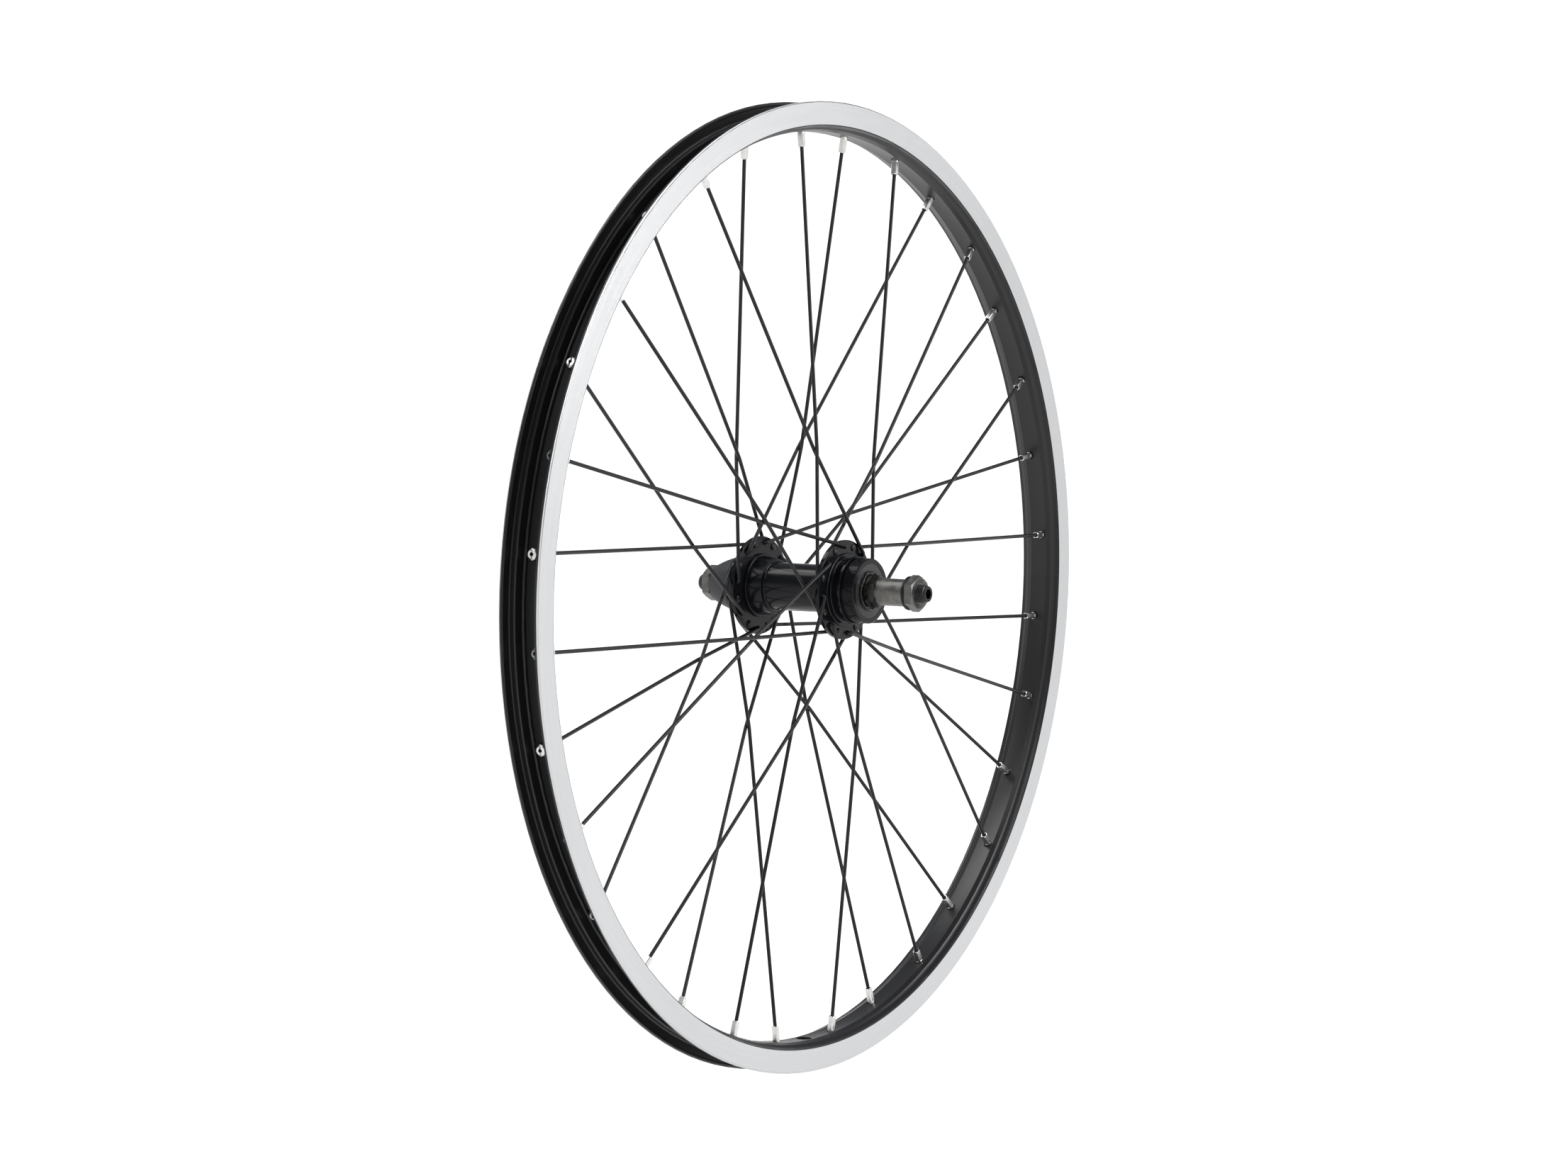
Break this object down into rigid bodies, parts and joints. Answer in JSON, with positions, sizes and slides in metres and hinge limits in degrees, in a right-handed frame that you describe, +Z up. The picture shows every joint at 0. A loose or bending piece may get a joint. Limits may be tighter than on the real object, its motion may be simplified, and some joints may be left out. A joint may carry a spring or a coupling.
{
  "type": "bicycle wheel",
  "caption": "Rear bicycle wheel with a hooked rim for a tyre, crossed wire spokes and a hub with a thread for a screw-on freewheel.",
  "frame": {"origin": "middle of the wheel, on the axle's line and in the plane halfway between the rim's sides", "axes": "+Y along the axle away from the sprocket side, +Z up, +X to the right as seen from the sprocket side"},
  "size_m": [0.52, 0.1452, 0.5199],
  "materials": {
    "rim": "satin",
    "spokes": "satin",
    "nipples": "polished",
    "hub_shell": "gloss",
    "dust_caps": "satin",
    "bearing_steel": "polished",
    "cone_steel": "satin",
    "axle": "satin",
    "axle_hardware": "satin",
    "boot": "matte"
  },
  "bodies": {
    "axle_set": {"axle": "axle", "drive_cone": "cone_steel", "far_cone": "cone_steel", "drive_spacer": "axle_hardware", "far_spacer": "axle_hardware", "drive_washer": "axle_hardware", "drive_locknut": "axle_hardware", "far_locknut": "axle_hardware", "far_boot": "boot"},
    "wheel": {"drive_cup": "bearing_steel", "drive_dust_cap": "dust_caps", "drive_nipples": "nipples", "drive_spoke_01": "spokes", "drive_spoke_02": "spokes", "drive_spoke_03": "spokes", "drive_spoke_04": "spokes", "drive_spoke_05": "spokes", "drive_spoke_06": "spokes", "drive_spoke_07": "spokes", "drive_spoke_08": "spokes", "drive_spoke_09": "spokes", "drive_spoke_10": "spokes", "drive_spoke_11": "spokes", "drive_spoke_12": "spokes", "drive_spoke_13": "spokes", "drive_spoke_14": "spokes", "drive_spoke_15": "spokes", "drive_spoke_16": "spokes", "far_cup": "bearing_steel", "far_dust_cap": "dust_caps", "far_nipples": "nipples", "far_spoke_01": "spokes", "far_spoke_02": "spokes", "far_spoke_03": "spokes", "far_spoke_04": "spokes", "far_spoke_05": "spokes", "far_spoke_06": "spokes", "far_spoke_07": "spokes", "far_spoke_08": "spokes", "far_spoke_09": "spokes", "far_spoke_10": "spokes", "far_spoke_11": "spokes", "far_spoke_12": "spokes", "far_spoke_13": "spokes", "far_spoke_14": "spokes", "far_spoke_15": "spokes", "far_spoke_16": "spokes", "hub_shell": "hub_shell", "rim": "rim"},
    "drive_ball_row": {"drive_balls": "bearing_steel"},
    "far_ball_row": {"far_balls": "bearing_steel"}
  },
  "joints": [
    {"name": "hub_spin", "type": "hinge", "parent": "axle_set", "child": "wheel", "pos_m": [0, 0, 0], "axis": [0, 1, 0], "continuous": true},
    {"name": "drive_balls_roll", "type": "hinge", "parent": "axle_set", "child": "drive_ball_row", "pos_m": [0, -0.0316, 0], "axis": [0, 1, 0], "continuous": true},
    {"name": "far_balls_roll", "type": "hinge", "parent": "axle_set", "child": "far_ball_row", "pos_m": [0, 0.0415, 0], "axis": [0, 1, 0], "continuous": true}
  ],
  "couplings": [
    {"joint": "drive_balls_roll", "follows": "hub_spin", "ratio": 0.617},
    {"joint": "far_balls_roll", "follows": "hub_spin", "ratio": 0.617}
  ]
}
